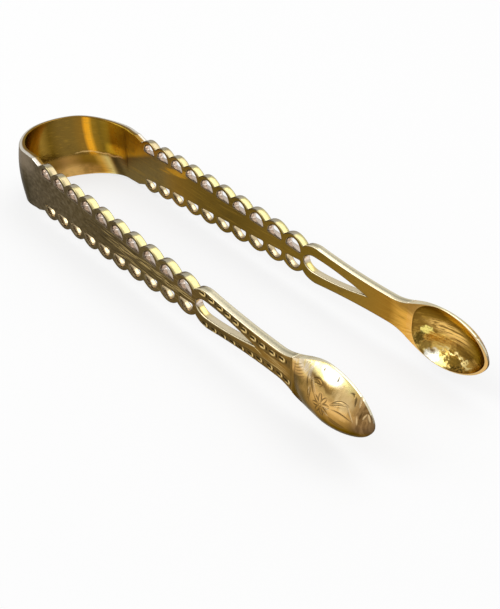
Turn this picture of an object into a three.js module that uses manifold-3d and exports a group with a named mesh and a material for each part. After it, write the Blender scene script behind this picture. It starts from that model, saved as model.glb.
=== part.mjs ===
// Sugar tongs lying on edge: a spring bow, two pierced arms and two spoon bowls, joined by solder seams.
// Millimetres. +X runs from the bow to the bowls, +Y to the left arm and +Z up.
import * as THREE from 'three';
import { mergeVertices } from 'three/addons/utils/BufferGeometryUtils.js';
import Module from 'manifold-3d';

const wasm = await Module();
wasm.setup();

// Arms: plates with a row of pierced loops along both edges
const PLATE_THICKNESS = 1.7;
const ARM_GAP = 25.2; // between the inner faces at the roots
const ARM_LEAN = 0.5; // each arm leans in by this much at the last loop
const TIP_FLARE = 0.6; // each bowl's tip is set back out by this much
const ROOT_TAB = 3; // plain plate between the bow's seam and the first loop
const LOOP_COUNT = 10;
const LOOP_PITCH = 6;
const LOOP_RISE = 1.15; // crest of a loop above its notches
const LOOP_RIM = 0.8; // metal over a loop's hole
const HOLE_DROP = 1.85; // straight side of a loop's hole below the notches
const HOLE_WEB = 1.6; // metal between neighbouring holes
const SEAM_WIDTH = 12.8;
const ROOT_WIDTH = 11; // across the notches, at the first loop
const MIDDLE_WIDTH = 8.7; // across the notches, half way along the loops
const NECK_WIDTH = 5.4; // across the notches, after the last loop

// Stem: the end of each arm, from the last loop to the bowl's seam
const STEM_LENGTH = 28;
const SHOULDER_WIDTH = 7.9;
const SHOULDER_RUN = 4; // from the last notch to the shoulder
const SHOULDER_LEAD = 1.2; // from the last notch to where the shoulder's curve turns
const WAIST_WIDTH = 5.46;
const WAIST_RUN = 24; // from the last notch to the waist
const STEM_END_WIDTH = 7;
const TEARDROP_LENGTH = 17.5;
const TEARDROP_WIDTH = 3.46;
const TEARDROP_ROUND = 2.9; // from its round end to its widest place
const TEARDROP_WEB = 0.4; // from the last notch to its round end
const TEARDROP_FULL = 6; // from its widest place to where its sides turn inward

// Bowls: struck spoon bowls with the hollow facing inward
const BOWL_LENGTH = 18;
const BOWL_WIDTH = 11.3;
const BOWL_WIDEST = 7.5; // from the seam to the widest place
const BOWL_DEPTH = 4; // from the rim to the crest of the dome
const BOWL_WALL = 0.6;
const RIM_WIDTH = 0.18;
const RIM_THICKNESS = 0.4;
const TIP_LIP = 0.9;
const HOLLOW_SETBACK = 1.3; // from the seam to the hollow's edge
const HOLLOW_POWER = 0.36; // 0.5 gives the hollow a round heel, less a squarer one
const TIP_POWER = 0.62; // 0.5 gives a round tip, 1 a pointed one
const DOME_POWER = 0.6; // fullness of the dome and the hollow across their width
const HEEL_POWER = 0.9; // 0.5 gives a dome that rises steeply from the seam, 1 a gentle one

// Bow: a strip bent to a half ellipse, domed across its width at the crown
const BOW_STRAIGHT = 4.2; // straight run from the seam to the bend
const BOW_REACH = 13; // from the start of the bend to the crown's edges
const BOW_SPAN = 27.2; // across the bow where the bend starts
const BOW_WIDTH = 15.7; // at the crown
const BOW_BEND_WIDTH = 13.3; // where the bend starts
const BOW_THICKNESS = 1.1;
const BOW_DOME = 2; // bulge of the crown past its edges
const TAPER_ANGLE = Math.PI / 4; // from this far round the strip thickens to the arm's plate
const REST_ANGLE = Math.PI / 4.5; // the crown's edges are level this far round, each way

// Seams
const SOLDER = 0.25;

// Facets
const CURVE_STEPS = 10;
const BEND_STEPS = 36;
const LEAD_STEPS = 4;
const STRIP_STEPS = 10;
const BOWL_STEPS = 22;
const BOWL_STRIPS = 18;
const TIP_FLAT = 0.03; // a rounded end is cut off this far from its tip, to close it with a small flat
const WELD = 1e-4; // corners closer than this are one corner
const CUT_CLEARANCE = 1; // how far the hollow's cutter stands out of the rim

// Places along X, counted from the first loop
const NECK_X = LOOP_COUNT * LOOP_PITCH;
const STEM_END_X = NECK_X + STEM_LENGTH;
const BOWL_X = STEM_END_X + SOLDER;
const TIP_X = BOWL_X + BOWL_LENGTH - TIP_FLAT;
const ARM_ROOT_X = -ROOT_TAB;
const BOW_END_X = ARM_ROOT_X - SOLDER;
const BEND_X = BOW_END_X - BOW_STRAIGHT;
const CROWN_X = BEND_X - BOW_REACH - BOW_DOME;
const FLARE_X = NECK_X - LOOP_PITCH;
const OUTER_HALF = ARM_GAP / 2 + PLATE_THICKNESS;

const GILT_BRASS = { color: 0xb08d3c, roughness: 0.32, metalness: 1 };
const ARM_BRASS = { color: 0x8a7440, roughness: 0.42, metalness: 1 };
const BOWL_BRASS = { color: 0xc9a24a, roughness: 0.25, metalness: 1 };
const SOLDER_METAL = { color: 0xb9a878, roughness: 0.4, metalness: 1 };

function smooth(share) {
  const t = THREE.MathUtils.clamp(share, 0, 1);
  return t * t * (3 - 2 * t);
}

// Half the plate's width along the notches: a curve through the root, the middle and the neck
function notchHalf(x) {
  const share = x / NECK_X;
  const root = ROOT_WIDTH * (1 - share) * (1 - 2 * share);
  const middle = MIDDLE_WIDTH * 4 * share * (1 - share);
  const neck = NECK_WIDTH * share * (2 * share - 1);
  return (root + middle + neck) / 2;
}

// How far an arm's inner face stands outside the line of its root
function armSet(x) {
  const lean = ARM_LEAN * Math.max(0, x) / NECK_X;
  const flare = Math.max(0, x - FLARE_X) / (TIP_X - FLARE_X);
  return (TIP_FLARE + ARM_LEAN * TIP_X / NECK_X - ARM_LEAN) * flare * flare - lean;
}

// Outline of one edge of an arm, from the seam to the bowl, as points of a shape drawn on the side given
function drawEdge(path, side) {
  path.lineTo(0, side * notchHalf(0));
  for (let loop = 0; loop < LOOP_COUNT; loop += 1) {
    const start = loop * LOOP_PITCH;
    const end = start + LOOP_PITCH;
    const crest = (notchHalf(start) + notchHalf(end)) / 2 + 2 * LOOP_RISE;
    path.quadraticCurveTo((start + end) / 2, side * crest, end, side * notchHalf(end));
  }
  const shoulder = side * SHOULDER_WIDTH / 2;
  const waist = side * WAIST_WIDTH / 2;
  const shoulderX = NECK_X + SHOULDER_RUN;
  const waistX = NECK_X + WAIST_RUN;
  path.quadraticCurveTo(NECK_X + SHOULDER_LEAD, shoulder, shoulderX, shoulder);
  path.quadraticCurveTo((shoulderX + waistX) / 2, waist, waistX, waist);
  path.quadraticCurveTo((waistX + STEM_END_X) / 2, waist, STEM_END_X, side * STEM_END_WIDTH / 2);
}

// Hole of one loop: half an ellipse that stands on a straight side
function loopHole(loop, side) {
  const start = loop * LOOP_PITCH;
  const end = start + LOOP_PITCH;
  const middle = (start + end) / 2;
  const notch = (notchHalf(start) + notchHalf(end)) / 2;
  const slope = Math.atan2(notchHalf(end) - notchHalf(start), LOOP_PITCH) * side;
  const halfLength = (LOOP_PITCH - HOLE_WEB) / 2;
  const height = HOLE_DROP + LOOP_RISE - LOOP_RIM;
  const hole = new THREE.Path();
  const base = side * (notch - HOLE_DROP);
  hole.absellipse(middle, base, halfLength, side * height, 0, Math.PI, false, slope);
  hole.closePath();
  return hole;
}

// Opening beside the stem's shoulder: round toward the bow and pointed toward the bowl
function teardrop() {
  const roundX = NECK_X + TEARDROP_WEB;
  const wideX = roundX + TEARDROP_ROUND;
  const pointX = roundX + TEARDROP_LENGTH;
  const half = TEARDROP_WIDTH / 2;
  const fullX = wideX + TEARDROP_FULL;
  const hole = new THREE.Path();
  hole.moveTo(pointX, 0);
  hole.quadraticCurveTo(fullX, half, wideX, half);
  hole.absellipse(wideX, 0, TEARDROP_ROUND, half, Math.PI / 2, 3 * Math.PI / 2, false);
  hole.quadraticCurveTo(fullX, -half, pointX, 0);
  return hole;
}

function armGeometry(side) {
  const upper = new THREE.Path();
  upper.moveTo(ARM_ROOT_X, SEAM_WIDTH / 2);
  drawEdge(upper, 1);
  const edge = upper.getPoints(CURVE_STEPS);
  const mirrored = edge.map((point) => new THREE.Vector2(point.x, -point.y));
  const plate = new THREE.Shape([...mirrored, ...edge.reverse()]);
  for (let loop = 0; loop < LOOP_COUNT; loop += 1) {
    plate.holes.push(loopHole(loop, 1), loopHole(loop, -1));
  }
  plate.holes.push(teardrop());
  const options = { depth: PLATE_THICKNESS, bevelEnabled: false, curveSegments: CURVE_STEPS };
  const geometry = new THREE.ExtrudeGeometry(plate, options);
  geometry.rotateX(Math.PI / 2);
  geometry.translate(0, side > 0 ? OUTER_HALF : -ARM_GAP / 2, 0);
  const position = geometry.attributes.position;
  for (let i = 0; i < position.count; i += 1) {
    position.setY(i, position.getY(i) + side * armSet(position.getX(i)));
  }
  return geometry;
}

// Closed solid through rings of points. Each ring runs along one side of a strip and back along the other.
function loft(rings) {
  const count = rings[0].length;
  const last = (rings.length - 1) * count;
  const index = [];
  for (let ring = 0; ring < rings.length - 1; ring += 1) {
    for (let i = 0; i < count; i += 1) {
      const a = ring * count + i;
      const b = ring * count + (i + 1) % count;
      index.push(a, b, b + count, a, b + count, a + count);
    }
  }
  for (let i = 0; i < count / 2 - 1; i += 1) {
    const j = count - 1 - i;
    index.push(i, j, j - 1, i, j - 1, i + 1);
    index.push(last + i, last + j - 1, last + j, last + i, last + i + 1, last + j - 1);
  }
  const geometry = new THREE.BufferGeometry().setFromPoints(rings.flat());
  geometry.setIndex(index);
  return faceOutward(geometry);
}

// Turns the triangles round when they enclose a negative volume
function faceOutward(geometry) {
  const position = geometry.attributes.position;
  const index = geometry.index.array;
  const [a, b, c] = [new THREE.Vector3(), new THREE.Vector3(), new THREE.Vector3()];
  let volume = 0;
  for (let i = 0; i < index.length; i += 3) {
    a.fromBufferAttribute(position, index[i]);
    b.fromBufferAttribute(position, index[i + 1]);
    c.fromBufferAttribute(position, index[i + 2]);
    volume += a.dot(b.cross(c));
  }
  if (volume < 0) {
    index.reverse();
  }
  return geometry;
}

// Section of the bow at one place: the outer face from its lower to its upper edge, then the inner face back
function bowRing(place, halfWidth, thickness) {
  const outer = [];
  const inner = [];
  for (let i = 0; i <= STRIP_STEPS; i += 1) {
    const share = 2 * i / STRIP_STEPS - 1;
    const bulge = 1 - share * share;
    outer.push(place(bulge, 0).setZ(share * halfWidth));
    inner.push(place(bulge, thickness).setZ(share * halfWidth));
  }
  return [...outer, ...inner.reverse()];
}

function bowGeometry() {
  const rings = [];
  const lead = (side) => {
    const run = [];
    for (let i = 0; i < LEAD_STEPS; i += 1) {
      const share = i / LEAD_STEPS;
      const x = BOW_END_X - share * BOW_STRAIGHT;
      const place = (bulge, inset) => new THREE.Vector3(x, side * (OUTER_HALF - inset), 0);
      const width = THREE.MathUtils.lerp(SEAM_WIDTH, BOW_BEND_WIDTH, smooth(share));
      run.push(bowRing(place, width / 2, PLATE_THICKNESS));
    }
    return run;
  };
  rings.push(...lead(-1));
  for (let i = 0; i <= BEND_STEPS; i += 1) {
    const angle = Math.PI * (i / BEND_STEPS - 0.5);
    const taper = smooth((Math.abs(angle) - TAPER_ANGLE) / (Math.PI / 2 - TAPER_ANGLE));
    const half = THREE.MathUtils.lerp(BOW_SPAN / 2, OUTER_HALF, taper);
    const thickness = THREE.MathUtils.lerp(BOW_THICKNESS, PLATE_THICKNESS, taper);
    const place = (bulge, inset) => {
      const offset = BOW_DOME * Math.cos(angle) * bulge - inset;
      const x = BEND_X - (BOW_REACH + offset) * Math.cos(angle);
      return new THREE.Vector3(x, (half + offset) * Math.sin(angle), 0);
    };
    const round = (Math.PI / 2 - Math.abs(angle)) / (Math.PI / 2 - REST_ANGLE);
    const width = THREE.MathUtils.lerp(BOW_BEND_WIDTH, BOW_WIDTH, smooth(round));
    rings.push(bowRing(place, width / 2, thickness));
  }
  rings.push(...lead(1).reverse());
  return loft(rings);
}

// Half the bowl's width at a distance from its seam
function bowlHalf(run) {
  const widest = BOWL_WIDTH / 2;
  if (run > BOWL_WIDEST) {
    const share = (run - BOWL_WIDEST) / (BOWL_LENGTH - BOWL_WIDEST);
    return widest * (1 - share * share) ** TIP_POWER;
  }
  const t = run / BOWL_WIDEST;
  const slope = (STEM_END_WIDTH - WAIST_WIDTH) / (STEM_LENGTH - WAIST_RUN);
  const start = STEM_END_WIDTH / 2;
  return start + (widest - start) * smooth(t) + slope * BOWL_WIDEST * t * (1 - t) * (1 - t);
}

// Half the hollow's width at a distance from the bowl's seam
function hollowHalf(run) {
  const widest = BOWL_WIDTH / 2 - RIM_WIDTH;
  if (run > BOWL_WIDEST) {
    const share = (run - BOWL_WIDEST) / (BOWL_LENGTH - TIP_LIP - BOWL_WIDEST);
    return widest * (1 - share * share) ** TIP_POWER;
  }
  const share = (BOWL_WIDEST - run) / (BOWL_WIDEST - HOLLOW_SETBACK);
  return widest * (1 - share * share) ** HOLLOW_POWER;
}

// Height of an arch that spans from start to end, as a share of its crest
function arch(run, start, end, heelPower = 0.5) {
  const share = (2 * run - start - end) / (end - start);
  return Math.max(0, 1 - share * share) ** (share < 0 ? heelPower : 0.5);
}

// Solid between a rim side and a domed side, over the run given
function dome(side, start, end, halfAt, rimAt, domeAt) {
  const rings = [];
  const middle = (start + end) / 2;
  for (let i = 0; i <= BOWL_STEPS; i += 1) {
    const turn = Math.PI * (i / BOWL_STEPS - 0.5);
    const run = middle + (end - start) / 2 * Math.sin(turn);
    const x = BOWL_X + run;
    const rimY = ARM_GAP / 2 + armSet(x);
    const domed = [];
    const rim = [];
    for (let j = 0; j <= BOWL_STRIPS; j += 1) {
      const across = Math.sin(Math.PI * (j / BOWL_STRIPS - 0.5));
      const z = across * halfAt(run);
      const full = (1 - across * across) ** DOME_POWER;
      domed.push(new THREE.Vector3(x, side * (rimY + domeAt(run, full)), z));
      rim.push(new THREE.Vector3(x, side * (rimY + rimAt), z));
    }
    rings.push([...domed, ...rim.reverse()]);
  }
  return loft(rings);
}

function solidFrom(geometry) {
  const merged = mergeVertices(geometry, WELD);
  const vertProperties = merged.attributes.position.array;
  const triVerts = Uint32Array.from(merged.index.array);
  return new wasm.Manifold(new wasm.Mesh({ numProp: 3, vertProperties, triVerts }));
}

function geometryFrom(solid) {
  const mesh = solid.getMesh();
  const geometry = new THREE.BufferGeometry();
  geometry.setAttribute('position', new THREE.BufferAttribute(mesh.vertProperties, 3));
  geometry.setIndex(new THREE.BufferAttribute(mesh.triVerts, 1));
  return geometry;
}

function bowlGeometry(side) {
  const rimAt = (run) => THREE.MathUtils.lerp(PLATE_THICKNESS, RIM_THICKNESS, smooth(run / BOWL_WIDEST));
  const rise = BOWL_DEPTH - RIM_THICKNESS;
  const outside = (run, full) => rimAt(run) + rise * arch(run, 0, BOWL_LENGTH, HEEL_POWER) * full;
  const hollowEnd = BOWL_LENGTH - TIP_LIP;
  const depth = BOWL_DEPTH - BOWL_WALL;
  const inside = (run, full) => depth * arch(run, HOLLOW_SETBACK, hollowEnd) * full;
  const body = dome(side, 0, BOWL_LENGTH - TIP_FLAT, bowlHalf, 0, outside);
  const [start, end] = [HOLLOW_SETBACK + TIP_FLAT, hollowEnd - TIP_FLAT];
  const hollow = dome(side, start, end, hollowHalf, -CUT_CLEARANCE, inside);
  return geometryFrom(solidFrom(body).subtract(solidFrom(hollow)));
}

// Slab of solder that fills a seam between two flat ends
function seamGeometry(side, startX, width) {
  const geometry = new THREE.BoxGeometry(SOLDER, PLATE_THICKNESS, width);
  const y = ARM_GAP / 2 + PLATE_THICKNESS / 2 + armSet(startX);
  geometry.translate(startX + SOLDER / 2, side * y, 0);
  return geometry;
}

function piece(name, geometry, look) {
  const mesh = new THREE.Mesh(geometry, new THREE.MeshStandardMaterial(look));
  mesh.name = name;
  return mesh;
}

const tongs = new THREE.Group();
tongs.position.set(-(CROWN_X + TIP_X) / 2, 0, BOW_WIDTH / 2);
tongs.add(piece('bow', bowGeometry(), GILT_BRASS));
for (const [name, side] of [['left', 1], ['right', -1]]) {
  tongs.add(piece(`${name}_arm`, armGeometry(side), ARM_BRASS));
  tongs.add(piece(`${name}_bowl`, bowlGeometry(side), BOWL_BRASS));
  tongs.add(piece(`${name}_bow_solder`, seamGeometry(side, BOW_END_X, SEAM_WIDTH), SOLDER_METAL));
  tongs.add(piece(`${name}_bowl_solder`, seamGeometry(side, STEM_END_X, STEM_END_WIDTH), SOLDER_METAL));
}

export default tongs;
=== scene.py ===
# Looks of the sugar tongs: fine metal pieces, materials, floor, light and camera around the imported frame.
# Shapes are in millimetres, counted along X from the first loop, until place() puts them in the frame.
import math

import bmesh
import bpy
import numpy as np
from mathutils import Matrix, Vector
from mathutils.geometry import delaunay_2d_cdt


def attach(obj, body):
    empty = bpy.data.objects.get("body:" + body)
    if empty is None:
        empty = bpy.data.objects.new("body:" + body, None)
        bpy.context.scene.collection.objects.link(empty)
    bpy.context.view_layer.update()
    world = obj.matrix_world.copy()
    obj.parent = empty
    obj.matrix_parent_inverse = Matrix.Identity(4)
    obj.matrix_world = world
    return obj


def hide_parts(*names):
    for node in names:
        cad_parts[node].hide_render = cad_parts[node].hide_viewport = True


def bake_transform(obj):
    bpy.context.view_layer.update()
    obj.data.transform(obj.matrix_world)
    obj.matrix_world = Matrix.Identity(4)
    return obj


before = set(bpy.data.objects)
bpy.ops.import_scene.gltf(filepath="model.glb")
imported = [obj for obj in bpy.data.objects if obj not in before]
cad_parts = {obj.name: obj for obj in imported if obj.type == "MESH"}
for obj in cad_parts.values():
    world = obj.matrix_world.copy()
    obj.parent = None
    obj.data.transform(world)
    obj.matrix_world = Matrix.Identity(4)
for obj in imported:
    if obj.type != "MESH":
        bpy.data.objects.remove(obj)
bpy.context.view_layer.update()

MILLIMETRE = 0.001
QUARTER_TURN = math.pi / 2
SIDES = (("left", 1), ("right", -1))

# Sizes of the part's source, in millimetres
PLATE_THICKNESS = 1.7
ARM_GAP = 25.2
ARM_LEAN = 0.5
TIP_FLARE = 0.6
ROOT_TAB = 3
LOOP_COUNT = 10
LOOP_PITCH = 6
LOOP_RISE = 1.15
LOOP_RIM = 0.8
HOLE_DROP = 1.85
HOLE_WEB = 1.6
SEAM_WIDTH = 12.8
ROOT_WIDTH = 11
MIDDLE_WIDTH = 8.7
NECK_WIDTH = 5.4
STEM_LENGTH = 28
SHOULDER_WIDTH = 7.9
SHOULDER_RUN = 4
SHOULDER_LEAD = 1.2
WAIST_WIDTH = 5.46
WAIST_RUN = 24
STEM_END_WIDTH = 7
TEARDROP_LENGTH = 17.5
TEARDROP_WIDTH = 3.46
TEARDROP_ROUND = 2.9
TEARDROP_WEB = 0.4
TEARDROP_FULL = 6
BOWL_LENGTH = 18
BOWL_DEPTH = 4
BOWL_WALL = 0.6
RIM_THICKNESS = 0.4
HOLLOW_SETBACK = 1.3
HOLLOW_POWER = 0.36
BOW_STRAIGHT = 4.2
BOW_REACH = 13
BOW_SPAN = 27.2
BOW_WIDTH = 15.7
BOW_BEND_WIDTH = 13.3
BOW_THICKNESS = 1.1
BOW_DOME = 2
TAPER_ANGLE = math.pi / 4
SOLDER = 0.25
TIP_FLAT = 0.03

# Places along X
NECK_X = LOOP_COUNT * LOOP_PITCH
STEM_END_X = NECK_X + STEM_LENGTH
BOWL_X = STEM_END_X + SOLDER
TIP_X = BOWL_X + BOWL_LENGTH - TIP_FLAT
ARM_ROOT_X = -ROOT_TAB
BOW_END_X = ARM_ROOT_X - SOLDER
BEND_X = BOW_END_X - BOW_STRAIGHT
CROWN_X = BEND_X - BOW_REACH - BOW_DOME
FLARE_X = NECK_X - LOOP_PITCH
OUTER_HALF = ARM_GAP / 2 + PLATE_THICKNESS
SHIFT = np.array([-(CROWN_X + TIP_X) / 2, 0, BOW_WIDTH / 2])

# Forms that follow the photo a little more closely than the part's source does
BOWL_WIDTH = 11.4
BOWL_WIDEST = 7.7
RIM_WIDTH = 0.13
TIP_LIP = 0.65
TIP_POWER = 0.58
DOME_POWER = 0.85
HEEL_POWER = 1.3
HEEL_FLOW = 1.2
HOLLOW_HEEL = 0.7
TIP_FLOW = 0.85
BOWL_LIFT = 0.2
REST_ANGLE = math.pi / 10
RIGHT_RISE = 0.75
RIGHT_FADE = 40
LEFT_DROP = 0.55
LEFT_FADE = 14

# Finish that only the looks have
EDGE_ROUND = 0.2
RIM_ROUND = 0.06
LIP_ROUND = 0.03
BOW_ROUND = 0.3
CORNER_ROUND = 0.45
CORNER_TURN = 0.14
SEAM_SWELL = 0.006
STROKE_END = 0.12
FACET_SAG = 0.015
SHARP_ANGLE = math.radians(40)

# Fineness of the meshes
EDGE_STEPS = 3
ROOT_STEPS = 6
LOOP_STEPS = 26
HOLE_STEPS = 26
FLAT_STEPS = 8
CORNER_STEPS = 5
STEM_STEPS = (20, 40, 14)
DROP_STEPS = 36
DROP_ROUND_STEPS = 28
GRID_STEP = 0.55
GRID_CLEAR = 0.32
FINE_STEP = 0.07
FINE_CLEAR = 0.09
SUPPORT_IN = 0.1
BOWL_STEPS = 240
BOWL_STRIPS = 170
HOLLOW_STEPS = 150
HOLLOW_STRIPS = 100
LIP_STEPS = 3
SECTION_STEPS = 44
SECTION_ROUND_STEPS = 5
BEND_STEPS = 100
LEAD_STEPS = 24
SEAM_STEPS = 6
NEAR = 1e-6
TINY = 1e-12

# Depth of a cut where its mark is full, and the toned rail along the hooks
BRIGHT_FULL = 0.06
DARK_FULL = 0.04
CUT_FULL = 0.08
RAIL_HALF = 1
RAIL_FADE = 0.3
RAIL_X = 61.5
RAIL_LEAD = 1.5


def smooth(share):
    t = np.clip(share, 0, 1)
    return t * t * (3 - 2 * t)


def notch_half(x):
    share = x / NECK_X
    root = ROOT_WIDTH * (1 - share) * (1 - 2 * share)
    middle = MIDDLE_WIDTH * 4 * share * (1 - share)
    neck = NECK_WIDTH * share * (2 * share - 1)
    return (root + middle + neck) / 2


def arm_set(x):
    lean = ARM_LEAN * np.maximum(0, x) / NECK_X
    flare = np.maximum(0, x - FLARE_X) / (TIP_X - FLARE_X)
    return (TIP_FLARE + ARM_LEAN * TIP_X / NECK_X - ARM_LEAN) * flare * flare - lean


def twisted(points):
    """Points with the bow's slight twist: the right root stands higher and the left one lower."""
    moved = np.array(points, float)
    rise = RIGHT_RISE * (1 - smooth(moved[:, 0] / RIGHT_FADE))
    drop = LEFT_DROP * (1 - smooth(moved[:, 0] / LEFT_FADE))
    moved[:, 2] += np.where(moved[:, 1] < 0, rise, -drop)
    return moved


def arch(run, start, end, heel_power):
    """Height of a bowl along its middle, from 0 at both ends to 1 between them."""
    share = (2 * run - start - end) / (end - start)
    return np.maximum(0, 1 - share * share) ** np.where(share < 0, heel_power, TIP_FLOW)


def curve(points, steps):
    """Points of a Bezier curve, found by blending its control points."""
    t = np.linspace(0, 1, steps + 1)[:, None]
    rows = [np.array(point, float) for point in points]
    while len(rows) > 1:
        rows = [(1 - t) * a + t * b for a, b in zip(rows, rows[1:])]
    return rows[0]


def bezier(a, b, c, steps):
    """Points of a quadratic curve without its first point."""
    return curve([a, b, c], steps)[1:]


def oriented(ring, clockwise):
    """The ring turned so that it runs clockwise or not."""
    after = np.roll(ring, -1, axis=0)
    area = np.sum(ring[:, 0] * after[:, 1] - after[:, 0] * ring[:, 1])
    return ring[::-1].copy() if (area < 0) != clockwise else ring


def inset(ring, distance, flat_ends=()):
    """The ring moved into the metal on its left. Corners on a flat end only slide along that end."""
    before = ring - np.roll(ring, 1, axis=0)
    after = np.roll(ring, -1, axis=0) - ring
    turn = np.array([[0, 1], [-1, 0]])
    first = (before / np.linalg.norm(before, axis=1)[:, None]) @ turn
    second = (after / np.linalg.norm(after, axis=1)[:, None]) @ turn
    miter = (first + second) / (1 + np.sum(first * second, axis=1))[:, None]
    for end in flat_ends:
        held = np.abs(ring[:, 0] - end) < NEAR
        miter[held, 0] = 0
        miter[held, 1] = -np.sign(ring[held, 1])
    return ring + distance * miter


def inside(points, rings):
    """Which points lie in the metal, by counting the ring edges to their right."""
    odd = np.zeros(len(points), bool)
    x, z = points[:, 0], points[:, 1]
    for ring in rings:
        for (x0, z0), (x1, z1) in zip(ring, np.roll(ring, -1, axis=0)):
            if z0 == z1:
                continue
            spans = (z0 > z) != (z1 > z)
            odd ^= spans & (x < (x1 - x0) * (z - z0) / (z1 - z0) + x0)
    return odd


def spacing_to(points, others):
    """Distance from each point to the nearest of the others."""
    nearest = np.full(len(points), 1e9)
    for block in np.array_split(others, max(1, len(others) // 60)):
        gaps = np.linalg.norm(points[:, None, :] - block[None, :, :], axis=2)
        nearest = np.minimum(nearest, gaps.min(axis=1))
    return nearest


def well_inside(points, rings, clear):
    """The points that lie in the metal and stay clear of its edges."""
    points = points[inside(points, rings)]
    return points[spacing_to(points, np.concatenate(rings)) > clear]


def grid_points(low, high, step):
    """Points of a square grid between two corners."""
    xs, zs = np.meshgrid(np.arange(low[0], high[0], step), np.arange(low[1], high[1], step))
    return np.stack([xs.ravel(), zs.ravel()], axis=1)


def cut_depth(points, strokes):
    """Depth of the engraving at each point. A stroke has a line, half widths along it and a depth."""
    depth = np.zeros(len(points))
    for line, halves, deep in strokes:
        reach = halves.max()
        low, high = line.min(axis=0) - reach, line.max(axis=0) + reach
        near = np.where(np.all((points >= low) & (points <= high), axis=1))[0]
        if len(near) == 0:
            continue
        here = points[near]
        best = np.zeros(len(near))
        for i in range(len(line) - 1):
            along = line[i + 1] - line[i]
            t = np.clip((here - line[i]) @ along / max(along @ along, TINY), 0, 1)
            gap = np.linalg.norm(here - line[i] - t[:, None] * along, axis=1)
            half = halves[i] + t * (halves[i + 1] - halves[i])
            wall = np.maximum(0, 1 - gap / np.maximum(half, NEAR))
            best = np.maximum(best, wall * half / reach)
        depth[near] = np.maximum(depth[near], best * deep)
    return depth


def stroke(points, width, deep, steps=10):
    """A cut along a curve with two, three or four control points, thinner at both ends."""
    swell = np.sqrt(np.sin(math.pi * np.linspace(0, 1, steps + 1)))
    return curve(points, steps), width / 2 * np.maximum(STROKE_END, swell), deep


def place(points):
    """Points of the model in metres in the part's frame."""
    return (np.asarray(points, float) + SHIFT) * MILLIMETRE


def add_piece(name, points, faces, marks, material, node):
    mesh = bpy.data.meshes.new(name)
    mesh.from_pydata(place(points).tolist(), [], faces)
    for mark, values in marks.items():
        attribute = mesh.attributes.new(mark, "FLOAT", "POINT")
        attribute.data.foreach_set("value", np.asarray(values, np.float32))
    shape = bmesh.new()
    shape.from_mesh(mesh)
    bmesh.ops.remove_doubles(shape, verts=shape.verts, dist=1e-6)
    bmesh.ops.dissolve_degenerate(shape, edges=shape.edges, dist=1e-7)
    bmesh.ops.delete(shape, geom=[v for v in shape.verts if not v.link_faces], context="VERTS")
    bmesh.ops.recalc_face_normals(shape, faces=shape.faces)
    for face in shape.faces:
        face.smooth = True
    for edge in shape.edges:
        edge.smooth = edge.calc_face_angle(0) < SHARP_ANGLE
    shape.to_mesh(mesh)
    shape.free()
    mesh.materials.append(material)
    piece = bpy.data.objects.new(name, mesh)
    bpy.context.collection.objects.link(piece)
    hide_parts(node)
    return piece


def strip(rows, closed=True):
    """Quads between neighbouring rows of vertex numbers."""
    faces = []
    for row, above in zip(rows[:-1], rows[1:]):
        count = len(row)
        for i in range(count if closed else count - 1):
            j = (i + 1) % count
            faces.append((row[i], row[j], above[j], above[i]))
    return faces


def tube(rings):
    """Points and faces of a tube through rings of equal count, closed at both ends."""
    count = len(rings[0])
    rows = [list(range(i * count, (i + 1) * count)) for i in range(len(rings))]
    return np.concatenate(rings), strip(rows) + [tuple(rows[0][::-1]), tuple(rows[-1])]


def fill(rings, extra, rows, total):
    """Triangles of the metal between rings. Ring points keep their numbers, new ones count from total."""
    numbers = [number for row in rows for number in row]
    points = np.concatenate(list(rings) + list(extra))
    links = []
    base = 0
    for ring in rings:
        count = len(ring)
        links += [(base + i, base + (i + 1) % count) for i in range(count)]
        base += count
    found, _, triangles, sources, _, _ = delaunay_2d_cdt([tuple(p) for p in points], links, [], 0, 1e-7)
    found = np.array([[p[0], p[1]] for p in found])
    ids, fresh = [], []
    for spot, source in zip(found, sources):
        known = [s for s in source if s < len(numbers)]
        ids.append(numbers[known[0]] if known else total + len(fresh))
        if not known:
            fresh.append(spot)
    triangles = np.array(triangles)
    kept = triangles[inside(found[triangles].mean(axis=1), rings)]
    return [tuple(ids[i] for i in face) for face in kept], np.array(fresh)


# Arms
def arm_edge():
    """Upper edge of an arm from its root to the end of its stem."""
    parts = [np.linspace([ARM_ROOT_X, SEAM_WIDTH / 2], [0, notch_half(0)], ROOT_STEPS + 1)]
    for loop in range(LOOP_COUNT):
        start, end = loop * LOOP_PITCH, (loop + 1) * LOOP_PITCH
        crest = (notch_half(start) + notch_half(end)) / 2 + 2 * LOOP_RISE
        a, b, c = [start, notch_half(start)], [(start + end) / 2, crest], [end, notch_half(end)]
        parts.append(bezier(a, b, c, LOOP_STEPS))
    shoulder, waist = SHOULDER_WIDTH / 2, WAIST_WIDTH / 2
    shoulder_x, waist_x = NECK_X + SHOULDER_RUN, NECK_X + WAIST_RUN
    bends = [[NECK_X, notch_half(NECK_X)], [NECK_X + SHOULDER_LEAD, shoulder], [shoulder_x, shoulder],
             [(shoulder_x + waist_x) / 2, waist], [waist_x, waist], [(waist_x + STEM_END_X) / 2, waist],
             [STEM_END_X, STEM_END_WIDTH / 2]]
    for i, steps in enumerate(STEM_STEPS):
        parts.append(bezier(*bends[2 * i:2 * i + 3], steps))
    return np.concatenate(parts)


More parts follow.
